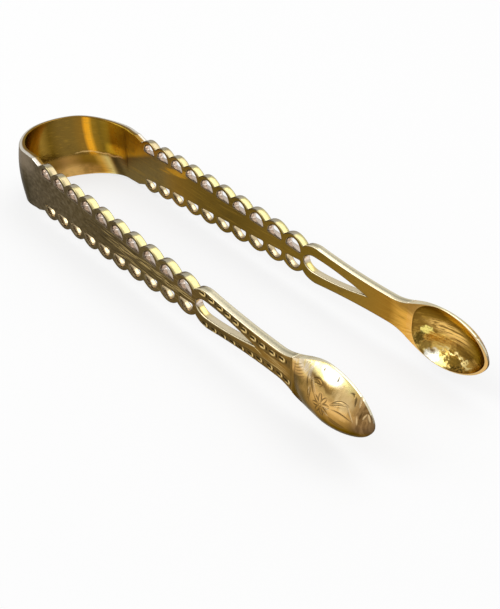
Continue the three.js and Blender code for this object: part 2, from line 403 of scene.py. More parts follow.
def loop_hole(loop, side):
    start, end = loop * LOOP_PITCH, (loop + 1) * LOOP_PITCH
    notch = (notch_half(start) + notch_half(end)) / 2
    slope = math.atan2(notch_half(end) - notch_half(start), LOOP_PITCH) * side
    half = (LOOP_PITCH - HOLE_WEB) / 2
    height = HOLE_DROP + LOOP_RISE - LOOP_RIM
    angle = np.linspace(CORNER_TURN, math.pi - CORNER_TURN, HOLE_STEPS + 1)
    top = np.stack([half * np.cos(angle), side * height * np.sin(angle)], axis=1)
    low = half - CORNER_ROUND
    flat = np.linspace([-low, 0], [low, 0], FLAT_STEPS + 1)
    left = bezier(top[-1], [-half, 0], flat[0], CORNER_STEPS)[:-1]
    right = bezier(flat[-1], [half, 0], top[0], CORNER_STEPS)[:-1]
    ring = np.concatenate([top, left, flat, right])
    turn = np.array([[math.cos(slope), math.sin(slope)], [-math.sin(slope), math.cos(slope)]])
    return oriented(ring @ turn + [(start + end) / 2, side * (notch - HOLE_DROP)], True)


def teardrop():
    round_x = NECK_X + TEARDROP_WEB
    wide_x = round_x + TEARDROP_ROUND
    point_x = round_x + TEARDROP_LENGTH
    half = TEARDROP_WIDTH / 2
    full_x = wide_x + TEARDROP_FULL
    upper = bezier([point_x, 0], [full_x, half], [wide_x, half], DROP_STEPS)
    angle = np.linspace(QUARTER_TURN, 3 * QUARTER_TURN, DROP_ROUND_STEPS + 1)[1:]
    back = np.stack([wide_x + TEARDROP_ROUND * np.cos(angle), half * np.sin(angle)], axis=1)
    lower = bezier([wide_x, -half], [full_x, -half], [point_x, 0], DROP_STEPS)
    return oriented(np.concatenate([upper, back, lower]), True)


UPPER_HOOKS = [(63.3, 3.2), (66, 3), (68.6, 2.75), (70.9, 2.45), (73.2, 2.1), (75.5, 1.8), (78.1, 1.5),
               (80.6, 1.35), (83.3, 1.4), (85.9, 1.65)]
LOWER_HOOKS = [(63.5, -3.3), (66.3, -3.12), (69.2, -2.98), (72, -2.72), (74.5, -2.56), (77.2, -2.22),
               (79.7, -1.95), (82.6, -1.82), (85.2, -1.85), (87.2, -2.1)]


def around(hook, rows):
    """Strokes beside a hook. A row has the distances of three points from it, a width and a depth."""
    return [stroke(np.array(points) + hook, width, deep) for *points, width, deep in rows]


def band_lines(random, count, first, shortest, longest):
    """Fine lines along the middle band, where the metal between the holes narrows toward the neck."""
    lines = []
    for _ in range(count):
        start = random.uniform(first, 57)
        end = min(start + random.uniform(shortest, longest), 61)
        room = min(notch_half(start), notch_half(end)) - HOLE_DROP - 0.35
        z = random.uniform(-1, 1) * min(2.2, max(0.3, room))
        end_z = z * 0.94 + random.uniform(-0.35, 0.35)
        lines.append(stroke([[start, z], [end, end_z]], random.uniform(0.12, 0.18), 0.06, 4))
    return lines


def arm_cuts():
    """Bright cuts: hooks and crescents along the rails of the stem, and fine lines beside them."""
    cuts = []
    for i, hook in enumerate(UPPER_HOOKS):
        long = 1.7 - 0.06 * i
        cuts += around(hook, (
            ((-long, -0.36), (-0.5, -0.48), (0.1, -0.36), 0.42, 0.16),
            ((0.02, -0.46), (0.34, 0), (0, 0.46), 0.44, 0.16),
            ((-0.7 * long, 0.3), (-0.3, 0.36), (0.05, 0.4), 0.2, 0.09)))
    for hook in LOWER_HOOKS:
        cuts += around(hook, (
            ((-0.1, 0.48), (0.5, 0.1), (0.06, -0.4), 0.4, 0.15),
            ((-0.85, -0.24), (-0.3, -0.38), (0.2, -0.34), 0.22, 0.09)))
    cuts.append(stroke([[77.4, -0.12], [78.6, -0.24], [80.2, -0.62]], 0.24, 0.1))
    random = np.random.default_rng(7)
    cuts += band_lines(random, 46, 26, 2.5, 7)
    for _ in range(12):
        x = random.uniform(79.5, 84)
        z = random.uniform(-1.2, 0.8)
        cuts.append(stroke([[x, z], [min(x + 4.5, 87.6), z + random.uniform(-0.15, 0.15)]], 0.14, 0.04, 4))
    return cuts


def dark_cuts():
    """Dark cuts: the hatching on the middle band, and outlines beside the hooks that are painted shadow
    lines.
    """
    cuts = band_lines(np.random.default_rng(11), 70, 8, 3, 9)
    for hook in UPPER_HOOKS:
        cuts += around(hook, (
            ((-1.3, 0.02), (-0.6, -0.06), (0.02, 0), 0.58, 0.12),
            ((0.62, -0.42), (0.84, 0), (0.66, 0.44), 0.36, 0.1)))
    for hook in LOWER_HOOKS:
        cuts += around(hook, (
            ((-1.25, 0.2), (-0.6, 0.06), (0.05, 0.02), 0.5, 0.12),
            ((0.6, 0.4), (0.85, 0.05), (0.7, -0.3), 0.34, 0.1)))
    for hooks, shift in ((UPPER_HOOKS, 0.72), (UPPER_HOOKS, -0.74), (LOWER_HOOKS, 0.74)):
        for ends in zip(hooks, hooks[1:]):
            cuts.append(stroke(np.array(ends) + [0, shift], 0.15, 0.05, 6))
    return cuts


def plate_rows(flat, depth, wall=0, inner=0, hole=0, edge=0, out=(0, 0)):
    """Rows of a plate's vertices: place along and up, depth, marks and the way that their wall faces."""
    rows = np.zeros((len(flat), 9))
    rows[:, :2] = flat
    rows[:, 2:7] = depth, wall, inner, hole, edge
    rows[:, 7:] = out
    return rows


def build_arms(materials):
    edge = arm_edge()
    rings = [oriented(np.concatenate([edge * [1, -1], edge[::-1]]), False)]
    for loop in range(LOOP_COUNT):
        rings += [loop_hole(loop, 1), loop_hole(loop, -1)]
    rings.append(teardrop())
    ends = (ARM_ROOT_X, STEM_END_X)
    turns = np.linspace(0, QUARTER_TURN, EDGE_STEPS + 1)
    profile = [(EDGE_ROUND * (1 - math.sin(a)), EDGE_ROUND * (1 - math.cos(a))) for a in turns]
    other = [(inward, PLATE_THICKNESS - deep) for inward, deep in reversed(profile)]
    profile += [(0, PLATE_THICKNESS / 2)] + other
    blocks, faces, first_rows, last_rows = [], [], [], []
    total = 0
    for number, ring in enumerate(rings):
        rows = []
        out = ring - inset(ring, 1, ends)
        out /= np.linalg.norm(out, axis=1)[:, None]
        for step, (inward, deep) in enumerate(profile):
            from_face = min(step, len(profile) - 1 - step)
            blocks.append(plate_rows(inset(ring, inward, ends), deep, from_face > 0, deep / PLATE_THICKNESS,
                                     number > 0, from_face in (1, 2), out))
            rows.append(list(range(total, total + len(ring))))
            total += len(ring)
        faces += strip(rows)
        first_rows.append(rows[0])
        last_rows.append(rows[-1])
    border = [inset(ring, EDGE_ROUND, ends) for ring in rings]
    support = np.concatenate([inset(ring, EDGE_ROUND + SUPPORT_IN, ends) for ring in rings])
    off_ends = (support[:, 0] > ARM_ROOT_X + 0.05) & (support[:, 0] < STEM_END_X - 0.05)
    support = support[off_ends]
    coarse = grid_points((ARM_ROOT_X + 0.4, -6.6), (STEM_END_X, 6.7), GRID_STEP)
    coarse = well_inside(coarse, border, GRID_CLEAR)
    bright, dark = arm_cuts(), dark_cuts()
    wide = [(line, halves + FINE_CLEAR, 1) for line, halves, deep in bright + dark]
    fine = grid_points((20, -3.9), (STEM_END_X, 3.95), FINE_STEP)
    fine = well_inside(fine[cut_depth(fine, wide) > 0], border, FINE_CLEAR)
    engraved = [points[cut_depth(points, wide) == 0] for points in (support, coarse)] + [fine]
    for rows, extra, deep in ((first_rows, engraved, 0), (last_rows, [support, coarse], PLATE_THICKNESS)):
        added, fresh = fill(border, extra, rows, total)
        faces += added
        total += len(fresh)
        blocks.append(plate_rows(fresh, deep, inner=deep > 0))
    table = np.concatenate(blocks)
    flat, depth = table[:, :2], table[:, 2]
    marks = dict(zip(("wall", "inner", "hole", "edge", "fore", "up"), table[:, 3:].T))
    outside = depth < NEAR
    bright, dark = [outside * cut_depth(flat, cuts) for cuts in (bright, dark)]
    marks["bright"] = np.clip(bright / BRIGHT_FULL, 0, 1)
    marks["dark"] = np.clip(dark / DARK_FULL, 0, 1)
    rail = np.zeros(len(flat))
    for hooks in (UPPER_HOOKS, LOWER_HOOKS):
        away = np.abs(flat[:, 1] - np.interp(flat[:, 0], *zip(*hooks)))
        rail = np.maximum(rail, np.clip((RAIL_HALF - away) / RAIL_FADE, 0, 1))
    marks["rail"] = rail * outside * smooth((flat[:, 0] - RAIL_X) / RAIL_LEAD)
    y = OUTER_HALF - depth - np.maximum(bright, dark) + arm_set(flat[:, 0])
    for name, side in SIDES:
        points = twisted(np.stack([flat[:, 0], side * y, flat[:, 1]], axis=1))
        arm = add_piece(f"{name}_arm_plate", points, faces, marks, materials["arm"],
                        f"{name}_arm")
        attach(arm, f"{name}_arm")


# Bowls
def tip_half(run, widest, end):
    """Half width of an outline from its widest place to its tip."""
    share = np.clip((run - BOWL_WIDEST) / (end - BOWL_WIDEST), 0, 1)
    return widest * (1 - share * share) ** TIP_POWER


def bowl_half(run):
    widest, start = BOWL_WIDTH / 2, STEM_END_WIDTH / 2
    t = run / BOWL_WIDEST
    slope = (STEM_END_WIDTH - WAIST_WIDTH) / (STEM_LENGTH - WAIST_RUN)
    heel = start + (widest - start) * smooth(t) + slope * BOWL_WIDEST * t * (1 - t) * (1 - t)
    return np.where(run > BOWL_WIDEST, tip_half(run, widest, BOWL_LENGTH), heel)


def hollow_half(run):
    widest = BOWL_WIDTH / 2 - RIM_WIDTH
    back = np.clip((BOWL_WIDEST - run) / (BOWL_WIDEST - HOLLOW_SETBACK), 0, 1)
    heel = widest * (1 - back * back) ** HOLLOW_POWER
    return np.where(run > BOWL_WIDEST, tip_half(run, widest, BOWL_LENGTH - TIP_LIP), heel)


def flower(x, z, petals, reach):
    """Outlines of a daisy's petals around a small ring."""
    centre = np.array([x, z])
    cuts = []
    for i in range(petals):
        a = 2 * math.pi * i / petals + 0.25
        out, side = np.array([math.cos(a), math.sin(a)]), np.array([-math.sin(a), math.cos(a)])
        for swell in (0.3 * reach, -0.3 * reach):
            bend = centre + 0.6 * reach * out + swell * side
            cuts.append(stroke([centre + 0.3 * out, bend, centre + reach * out], 0.32, 0.12))
    ring = np.linspace(0, 2 * math.pi, 13)
    line = np.stack([x + 0.28 * np.cos(ring), z + 0.28 * np.sin(ring)], axis=1)
    return cuts + [(line, np.full(13, 0.11), 0.09)]


def leaf(start, bend, end, width):
    """Outline of a pointed leaf with a middle rib."""
    start, bend, end = np.array(start), np.array(bend), np.array(end)
    along = end - start
    side = np.array([-along[1], along[0]]) / np.linalg.norm(along) * width
    return [stroke([start, bend + side, end], 0.32, 0.11),
            stroke([start, bend - side, end], 0.3, 0.11),
            stroke([start, bend, start + 0.8 * along], 0.2, 0.07)]


def bowl_cuts():
    """Generic spray engraved on the back of a bowl: a daisy, a curved stem, leaves and small dashes."""
    cuts = flower(97.7, 0.75, 8, 2)
    cuts += leaf([94.2, 3], [95.4, 3.9], [97, 3.5], 0.7)
    cuts += leaf([94.9, 2.3], [94.2, 1.1], [94.8, -0.6], 0.6)
    cuts += leaf([99.4, 1.6], [100.8, 2.9], [102.6, 2.5], 0.6)
    cuts += leaf([99.3, -0.4], [100.6, -1.6], [102.4, -1.4], 0.6)
    cuts += [stroke(*row) for row in (
        ([[93.4, 3.7], [94.2, 3.1], [95.2, 2.2], [96.3, 1.2]], 0.34, 0.12, 16),
        ([[93.1, 3.9], [93.3, 3], [93.6, 2.2], [94.2, 1.4]], 0.28, 0.1, 12),
        ([[99.6, 1], [101, 1.5], [102.6, 0.9], [103.7, 0.2]], 0.28, 0.1, 16),
        ([[101.5, 4.1], [102.2, 4.3], [102.5, 3.6]], 0.34, 0.11),
        ([[102.5, 3.9], [103, 3.4], [103.2, 2.6]], 0.44, 0.12),
        ([[104.4, 2.4], [104.3, 1.8], [104.4, 1.2]], 0.36, 0.1),
        ([[95.5, 5.4], [95.6, 5.1], [95.7, 4.8]], 0.28, 0.09),
        ([[98.7, 5.25], [98.9, 4.95], [98.9, 4.6]], 0.28, 0.09))]
    for i in range(5):
        upper = np.array([[88.35 + 0.42 * i, 2.5 - 0.28 * i], [89.8 + 0.42 * i, 3 - 0.3 * i],
                          [91.2 + 0.4 * i, 4.25 - 0.34 * i]])
        cuts += [stroke(line, 0.24, 0.07, 12) for line in (upper, upper * [1, -1])]
    return cuts


def bowl_gleams():
    """Bright strokes of the engraving: beside the curved stem, and scrolls and a chevron near the tip."""
    return [stroke(*row) for row in (
        ([[93.9, 3.9], [94.7, 3.2], [95.6, 2.4], [96.5, 1.7]], 0.3, 0.08, 16),
        ([[94.3, 2.3], [94.3, 1.6], [94.8, 0.9]], 0.26, 0.08),
        ([[103.1, 4], [103.6, 3.4], [103.8, 2.6]], 0.34, 0.1),
        ([[101.8, 2.9], [102.5, 2.2], [103.3, 1.2], [103.7, 0.2]], 0.28, 0.08, 16),
        ([[105.05, 2.1], [104.9, 1.7], [104.8, 1.1]], 0.3, 0.1),
        ([[105.05, 2.1], [105.5, 1.6], [105.8, 0.8]], 0.3, 0.1),
        ([[103.9, 1.6], [104.2, 0.8], [104.2, 0]], 0.26, 0.08),
        ([[98.3, 1], [99, 0.7], [99.7, 0.9]], 0.3, 0.09),
        ([[98.2, 0.3], [98.8, -0.2], [99.6, -0.3]], 0.3, 0.09))]


def there_and_back(x, z):
    """Outline of a bowl, from the heel's lower end round to its upper end."""
    return np.concatenate([np.stack([x, -z], axis=1), np.stack([x, z], axis=1)[::-1]])


def rim_ring(run, half, distance):
    """Outline of a bowl moved inward by about a distance."""
    x = BOWL_X + run * (1 - distance / BOWL_LENGTH)
    return there_and_back(x, half * (1 - 2 * distance / BOWL_WIDTH))


def hollow_ring(run, half, distance):
    """Edge of a bowl's hollow moved outward by about a distance."""
    middle = (HOLLOW_SETBACK + BOWL_LENGTH - TIP_LIP) / 2
    x = BOWL_X + middle + (run - middle) * (1 + distance / (middle - HOLLOW_SETBACK))
    return there_and_back(x, half * (1 + 2 * distance / (BOWL_WIDTH - 2 * RIM_WIDTH)))


def bunched(count):
    """Numbers from 0 to 2, closer together toward both ends."""
    return 1 + np.sin(np.linspace(-QUARTER_TURN, QUARTER_TURN, count + 1))


def bowl_face(run, half, rise, strips):
    """Places on a bowl's face in rows across it, domed by the rise along its middle."""
    lean = np.linspace(-QUARTER_TURN, QUARTER_TURN, strips + 1)
    x = np.repeat((BOWL_X + run)[:, None], strips + 1, axis=1)
    y = np.outer(rise, np.cos(lean) ** (2 * DOME_POWER))
    return np.stack([x, y, np.outer(half, np.sin(lean))], axis=2)


def rounded_rows(outline, run, half, rounding, turns, grid):
    """Rings that round off the edge of a face, and rows of vertex numbers from that edge on."""
    rows = [np.concatenate([grid[:, 0], grid[::-1, -1]]).tolist()]
    total = grid[-1, -1] + 1
    rings = []
    for a in turns:
        ring = outline(run, half, rounding * (1 - math.cos(a)))
        level = np.full(len(ring), rounding * (1 - math.sin(a)))
        rings.append(np.stack([ring[:, 0], level, ring[:, 1]], axis=1))
        rows.append(list(range(total, total + len(ring))))
        total += len(ring)
    return rings, rows


def build_bowls(materials):
    turns = np.linspace(0, QUARTER_TURN, LIP_STEPS + 1)
    run = (BOWL_LENGTH - TIP_FLAT) / 2 * bunched(BOWL_STEPS)
    half = bowl_half(run)
    rim = PLATE_THICKNESS + (RIM_THICKNESS - PLATE_THICKNESS) * smooth(run / BOWL_WIDEST)
    rise = (BOWL_DEPTH - RIM_THICKNESS - FACET_SAG) * arch(run, 0, BOWL_LENGTH, HEEL_POWER)
    surface = bowl_face(run, half, rise * smooth(run / HEEL_FLOW), BOWL_STRIPS)
    surface[:, :, 1] += rim[:, None]
    normal = np.cross(np.gradient(surface, axis=1), np.gradient(surface, axis=0))
    normal /= np.linalg.norm(normal, axis=2)[:, :, None] + TINY
    normal *= np.sign(normal[:, :, 1:2] + 1e-9)
    flat = surface[:, :, [0, 2]].reshape(-1, 2)
    gleam = cut_depth(flat, bowl_gleams())
    depth = np.maximum(cut_depth(flat, bowl_cuts()), gleam)
    grid = np.arange(len(flat)).reshape(surface.shape[:2])
    surface = surface - depth.reshape(grid.shape)[:, :, None] * normal
    faces = strip(grid.tolist(), closed=False)
    rings, rows = rounded_rows(rim_ring, run, half, RIM_ROUND, turns, grid)
    faces += strip(rows, closed=False)
    faces.append(tuple(grid[-1].tolist()))
    faces.append(tuple(grid[0, ::-1].tolist() + [r[0] for r in rows[1:]] + [r[-1] for r in rows[:0:-1]]))
    # Hollow
    begin, stop = HOLLOW_SETBACK, BOWL_LENGTH - TIP_LIP
    run_in = begin + TIP_FLAT + (stop - begin - 2 * TIP_FLAT) / 2 * bunched(HOLLOW_STEPS)
    half_in = hollow_half(run_in)
    sag = (BOWL_DEPTH - BOWL_WALL) * arch(run_in, begin, stop, HOLLOW_HEEL)
    hollow = bowl_face(run_in, half_in, sag, HOLLOW_STRIPS)
    hollow[:, :, 1] = np.maximum(LIP_ROUND, hollow[:, :, 1])
    grid = rows[-1][-1] + 1 + np.arange(hollow.size // 3).reshape(hollow.shape[:2])
    faces += strip(grid.tolist(), closed=False)
    faces += [tuple(grid[0].tolist()), tuple(grid[-1].tolist())]
    rings_in, rows_in = rounded_rows(hollow_ring, run_in, half_in, LIP_ROUND, turns[1:], grid)
    faces += strip(rows_in)
    outlines = [rim_ring(run, half, RIM_ROUND), hollow_ring(run_in, half_in, LIP_ROUND)]
    faces += fill(outlines, [], [rows[-1], rows_in[-1]], rows_in[-1][-1] + 1)[0]
    points = np.concatenate([surface.reshape(-1, 3)] + rings + [hollow.reshape(-1, 3)] + rings_in)

    def marked(where, values=1):
        mark = np.zeros(len(points))
        mark[where] = values
        return mark

    back = slice(len(flat))
    marks = {"cut": marked(back, np.clip(depth / CUT_FULL, 0, 1)), "hollow": marked(grid.ravel()),
             "gleam": marked(back, np.clip(gleam / BRIGHT_FULL, 0, 1)), "rim": points[:, 1] < LIP_ROUND / 2,
             "side": marked(rows[0] + rows[1])}
    for name, side in SIDES:
        moved = points.copy()
        moved[:, 1] = side * (points[:, 1] + ARM_GAP / 2 + arm_set(points[:, 0]))
        moved[:, 2] += BOWL_LIFT * smooth((points[:, 0] - BOWL_X) / BOWL_WIDEST)
        bowl = add_piece(f"{name}_bowl_shell", moved, faces, marks, materials["bowl"],
                         f"{name}_bowl")
        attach(bowl, f"{name}_arm")


# Bow
def bow_section(half, thickness, rounding):
    """Closed section of the bow: height and depth below the outer face at each point."""
    turns = np.linspace(0, QUARTER_TURN, SECTION_ROUND_STEPS + 1)
    flat = half - rounding
    face = np.linspace(-flat, flat, SECTION_STEPS + 1)
    heights = np.concatenate([face, flat + rounding * np.sin(turns[1:]), flat + rounding * np.cos(turns)])
    corners = [rounding * (1 - np.cos(turns[1:])), thickness - rounding * (1 - np.sin(turns))]
    depths = np.concatenate([np.zeros(len(face))] + corners)
    return np.concatenate([heights, -heights]), np.concatenate([depths, thickness - depths])


def section_marks(count):
    """Inner face and rounded edges of so many sections of the bow."""
    height, depth = bow_section(0.5, 1, 0.1)
    inner = np.tile(depth, count)
    wall = np.tile(((depth > 0.02) & (depth < 0.98)).astype(float), count)
    return {"inner": inner, "wall": wall, "up": wall * np.tile(np.sign(height), count)}


def bow_twist(width, side):
    """Height that a side of the bow is moved by, growing as it narrows from the crown to the seam."""
    return (RIGHT_RISE if side < 0 else -LEFT_DROP) * (BOW_WIDTH - width) / (BOW_WIDTH - SEAM_WIDTH)


def build_bow(materials):
    path = [(angle, 0) for angle in np.linspace(0, QUARTER_TURN, BEND_STEPS + 1)]
    path += [(QUARTER_TURN, lead) for lead in np.linspace(0, 1, LEAD_STEPS + 1)[1:]]
    for name, side in SIDES:
        rings = []
        for angle, lead in path:
            widen = float(smooth((QUARTER_TURN - angle) / (QUARTER_TURN - REST_ANGLE)))
            taper = float(smooth((angle - TAPER_ANGLE) / (QUARTER_TURN - TAPER_ANGLE)))
            ease = float(smooth(lead))
            width = BOW_BEND_WIDTH + (BOW_WIDTH - BOW_BEND_WIDTH) * widen
            width += (SEAM_WIDTH - BOW_BEND_WIDTH) * ease
            span = BOW_SPAN / 2 + (OUTER_HALF - BOW_SPAN / 2) * taper
            thickness = BOW_THICKNESS + (PLATE_THICKNESS - BOW_THICKNESS) * taper
            height, depth = bow_section(width / 2, thickness, BOW_ROUND + (EDGE_ROUND - BOW_ROUND) * ease)
            offset = BOW_DOME * math.cos(angle) * (1 - (2 * height / width) ** 2) - depth
            x = BEND_X - (BOW_REACH + offset) * math.cos(angle) + lead * BOW_STRAIGHT
            y = (span + offset) * math.sin(angle)
            rings.append(np.stack([x, side * y, height + bow_twist(width, side)], axis=1))
        points, faces = tube(rings)
        half_bow = add_piece(f"{name}_half_bow", points, faces, section_marks(len(rings)),
                             materials["bow"], "bow")
        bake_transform(half_bow)


# Solder seams
def build_seams(materials):
    for name, side in SIDES:
        for kind, start, width in (("bow", BOW_END_X, SEAM_WIDTH), ("bowl", STEM_END_X, STEM_END_WIDTH)):
            height, depth = bow_section(width / 2, PLATE_THICKNESS, EDGE_ROUND)
            rings = []
            for share in np.linspace(0, 1, SEAM_STEPS + 1):
                swell = SEAM_SWELL * math.sin(math.pi * share)
                away = (depth / PLATE_THICKNESS - 0.5) * 2 * swell
                x = np.full(len(height), start + share * SOLDER)
                y = side * (OUTER_HALF + arm_set(start + SOLDER / 2) - depth - away)
                rings.append(np.stack([x, y, height * (1 + 2 * swell / width)], axis=1))
            points, faces = tube(rings)
            seam = add_piece(f"{name}_{kind}_seam", twisted(points), faces, section_marks(len(rings)),
                             materials["solder"], f"{name}_{kind}_solder")
            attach(seam, f"{name}_arm")


# Materials, with the tint that keeps brass warm at grazing angles
EDGE_TINT = (0.6, 0.57, 0.53)
BUMP_STRENGTH = 0.6
FAN_X = 96
FAN_LINES = 34
FAN_WAVES = 0.18


class Shader:
    """Short way to add the nodes of one material. Places are in millimetres of the model."""

    def __init__(self, name):
        self.material = bpy.data.materials.new(name)
        self.material.use_nodes = True
        self.tree = self.material.node_tree
        self.tree.nodes.clear()
        self.surface = self.add("BsdfPrincipled")
        self.output = self.add("OutputMaterial", {0: self.surface.outputs[0]})
        scale = 1 / MILLIMETRE
        self.spot = self.mapped(self.add("TexCoord").outputs["Object"], (scale, scale, scale), -SHIFT)
        self.x, self.y, self.z = self.add("SeparateXYZ", {0: self.spot}).outputs

    def add(self, kind, inputs=(), **settings):
        node = self.tree.nodes.new("ShaderNode" + kind)
        for name, setting in settings.items():
            setattr(node, name, setting)
        self.fit(node, inputs)
        return node

    def fit(self, node, inputs):
        """Gives a node its inputs: values, links, or tuples that start with a link and are eased."""
        for name, value in dict(inputs).items():
            socket = node.inputs[name]
            if isinstance(value, tuple) and isinstance(value[0], bpy.types.NodeSocket):
                value = self.ease(*value)
            if isinstance(value, bpy.types.NodeSocket):
                self.tree.links.new(value, socket)
            else:
                socket.default_value = (*value, 1) if socket.type == "RGBA" else value

    def mapped(self, vector, scale, shift=(0, 0, 0)):
        return self.add("Mapping", {"Vector": vector, "Scale": scale, "Location": shift}).outputs[0]

    def mark(self, name):
        return self.add("Attribute", attribute_name=name).outputs["Fac"]

    def noise(self, stretch, detail, rough=0.55, vector=None):
        """Noise with so many swells in each millimetre along X, Y and Z."""
        spot = self.mapped(vector or self.spot, stretch)
        inputs = {"Vector": spot, "Scale": 1, "Detail": detail, "Roughness": rough}
        return self.add("TexNoise", inputs).outputs["Fac"]

    def math(self, kind, a, b=0):
        return self.add("Math", {0: a, 1: b}, operation=kind).outputs[0]

    def plus(self, first, *others):
        for other in others:
            first = self.math("ADD", first, other)
        return first

    def both(self, first, *others):
        """Product of several shares."""
        for other in others:
            first = self.math("MULTIPLY", first, other)
        return first

    def ease(self, value, low, high, first=0, last=1):
        """Runs smoothly from first to last while the value runs from low to high."""
        if low > high:
            low, high, first, last = high, low, last, first
        inputs = enumerate((value, low, high, first, last))
        return self.add("MapRange", inputs, interpolation_type="SMOOTHSTEP").outputs[0]

    def near(self, value, far, close):
        """Runs from 0 where the value is far from zero to 1 where it is close."""
        return self.ease(self.math("ABSOLUTE", value), far, close)

    def patch(self, x, z, wide, tall, ragged, lean=0, soft=0):
        """Share of an oval patch with a ragged edge. It leans by so much height for each millimetre."""
        along = self.plus(self.x, -x)
        level = self.plus(self.z, -z, self.both(along, -lean))
        across = self.math("POWER", self.math("DIVIDE", along, wide), 2)
        upward = self.math("POWER", self.math("DIVIDE", level, tall), 2)
        away = self.plus(across, upward, (ragged, 0.2, 0.8, -0.9, 0.9))
        return self.ease(away, 1.25 + soft, 0.55 - soft)

    def mix(self, share, a, b):
        return self.add("Mix", {"Factor": share, 6: a, 7: b}, data_type="RGBA").outputs[2]

    def layers(self, tone, *rows):
        """The tone with colours over it in turn. A row has a colour and the shares that weigh it."""
        for colour, *shares in rows:
            tone = self.mix(self.both(*shares), tone, colour)
        return tone

    def profile(self, value, stops):
        """Colour along a value, from stops of a place and the colour there."""
        low, high = stops[0][0], stops[-1][0]
        scaled = self.add("MapRange", enumerate((value, low, high, 0, 1))).outputs[0]
        node = self.add("ValToRGB", {0: scaled})
        elements = node.color_ramp.elements
        while len(elements) < len(stops):
            elements.new(0.5)
        for element, (at, *colour) in zip(elements, stops):
            element.position = (at - low) / (high - low)
            element.color = (*colour, 1)
        return node.outputs[0]

    def metal(self, colour, rough, height, distance, tint=EDGE_TINT):
        """Makes the material a metal, with a height that is felt by so many millimetres."""
        bump = {"Strength": BUMP_STRENGTH, "Distance": distance * MILLIMETRE, "Height": height}
        self.fit(self.surface, {"Metallic": 1, "Specular Tint": tint, "Base Color": colour,
                                "Roughness": rough, "Normal": self.add("Bump", bump).outputs[0]})
        return self.material


def outer_tone(s, mottle, hatch):
    """Outside of the bow and the arms: a dark tone that is a painted dark reflection, mottled near the bow,
    hatched near the neck, golden at the stem.
    """
    return s.layers(
        s.profile(s.x, [
            (-12, 0.085, 0.068, 0.042), (2, 0.098, 0.072, 0.037), (20, 0.11, 0.077, 0.03),
            (34, 0.1, 0.069, 0.026), (46, 0.13, 0.09, 0.03), (58, 0.125, 0.075, 0.018),
            (70, 0.14, 0.085, 0.02), (79, 0.25, 0.135, 0.024), (86.4, 0.31, 0.165, 0.032),
            (88.4, 0.2, 0.115, 0.026)]),
        ((0.21, 0.17, 0.105), (mottle, 0.46, 0.68), (s.x, 36, 6, 0.05, 0.5)),
        ((0.045, 0.034, 0.015), (mottle, 0.5, 0.34), (s.x, 44, 12, 0, 0.6)),
        ((0.42, 0.3, 0.12), (hatch, 0.54, 0.68), (s.x, 24, 44, 0.1, 0.55)),
        # Lit upper part and shaded lower part of the bow
        ((0.27, 0.215, 0.15), (s.z, 1.5, 5, 0, 0.8), (s.x, 0, -7)),
        ((0.034, 0.027, 0.012), (s.z, 2.5, -1.5, 0, 0.9), (s.x, -4, -9)))


def inner_tone(s, blotch, brush):
    """Inside of the bow and the arms: bands of painted reflection in the bow, satin at the root, olive gold
    along the arm.
    """
    level = s.plus(s.z, s.both(s.x, -0.35), -1.5)
    arm = s.layers(
        s.profile(s.x, [
            (-8, 0.8, 0.55, 0.05), (-3, 0.75, 0.43, 0.03), (4, 0.42, 0.22, 0.03), (12, 0.27, 0.145, 0.02),
            (24, 0.17, 0.1, 0.013), (38, 0.14, 0.083, 0.011), (50, 0.2, 0.117, 0.016),
            (62, 0.19, 0.114, 0.013), (76, 0.29, 0.165, 0.024), (84, 0.37, 0.18, 0.02),
            (88.6, 0.95, 0.5, 0.08)]),
        ((0.19, 0.13, 0.04), (level, 0.7, -0.7), (s.x, 16, 6)),
        ((0.6, 0.3, 0.02), s.patch(15.8, 2.5, 6.5, 0.9, brush, 0.19), 0.85))
    lean = s.plus(s.y, s.both(s.z, 0.14))
    # Painted reflections on the lower part of the bow: bright and dark bands across it
    low = s.profile(lean, [
        (-8, 0.5, 0.3, 0.06), (-2, 0.5, 0.3, 0.06), (1, 0.55, 0.3, 0.08), (4, 0.52, 0.28, 0.06),
        (6, 0.42, 0.23, 0.025), (8, 0.45, 0.25, 0.025), (9.2, 1, 0.6, 0.1), (10.4, 1, 0.85, 0.34),
        (11.2, 0.5, 0.28, 0.05), (11.8, 0.1, 0.06, 0.01)])
    corner = s.near(s.plus(lean, -11.4), 0.6, 0.1)
    line = s.near(s.plus(s.z, 2.5, (blotch, 0.3, 0.7, -0.4, 0.4)), 0.3, 0.06)
    # Bands of painted reflection inside the bow, with a painted highlight band that leans with the height
    bow = s.layers(
        s.profile(lean, [
            (-13.6, 1, 0.75, 0.08), (-8, 0.75, 0.5, 0.045), (-5, 0.34, 0.2, 0.024), (-3.4, 0.34, 0.2, 0.03),
            (-1, 0.15, 0.085, 0.008), (2, 0.19, 0.115, 0.022), (5, 0.2, 0.12, 0.022),
            (7.3, 0.27, 0.14, 0.018), (8, 0.9, 0.4, 0.02), (8.7, 0.9, 0.42, 0.025),
            (9.4, 0.3, 0.165, 0.014), (10.6, 0.2, 0.12, 0.012), (11.4, 0.26, 0.15, 0.012),
            (12, 0.3, 0.17, 0.01), (12.6, 0.45, 0.29, 0.02), (13.6, 0.7, 0.47, 0.035)]),
        # Painted highlight beside the left root, then the painted reflections of the lower part, its
        # painted dark corner, a painted highlight at its foot and a fine painted highlight line
        ((1, 0.64, 0.04), (s.z, 1, -0.6), (s.z, -2.8, -1.6), (s.y, 10.6, 12.2), 0.9),
        (low, (s.z, -2.4, -3.6), (s.x, -10.6, -11.4)),
        ((0.2, 0.14, 0.05), (s.z, -2.2, -3.2), (s.y, 11.2, 12)),
        ((0.06, 0.04, 0.01), corner, (s.z, -2.4, -3.4), 0.7),
        ((1, 0.6, 0.18), (s.z, -4.6, -6.2), (s.y, 10.6, 8), (blotch, 0.36, 0.52, 0.4, 0.9)),
        ((0.85, 0.56, 0.22), line, (s.y, 4.2, 6), (s.x, -9.5, -10.5), (brush, 0.3, 0.6, 0.3, 0.8)))
    return s.mix((s.x, -7.5, -10.4), arm, bow)


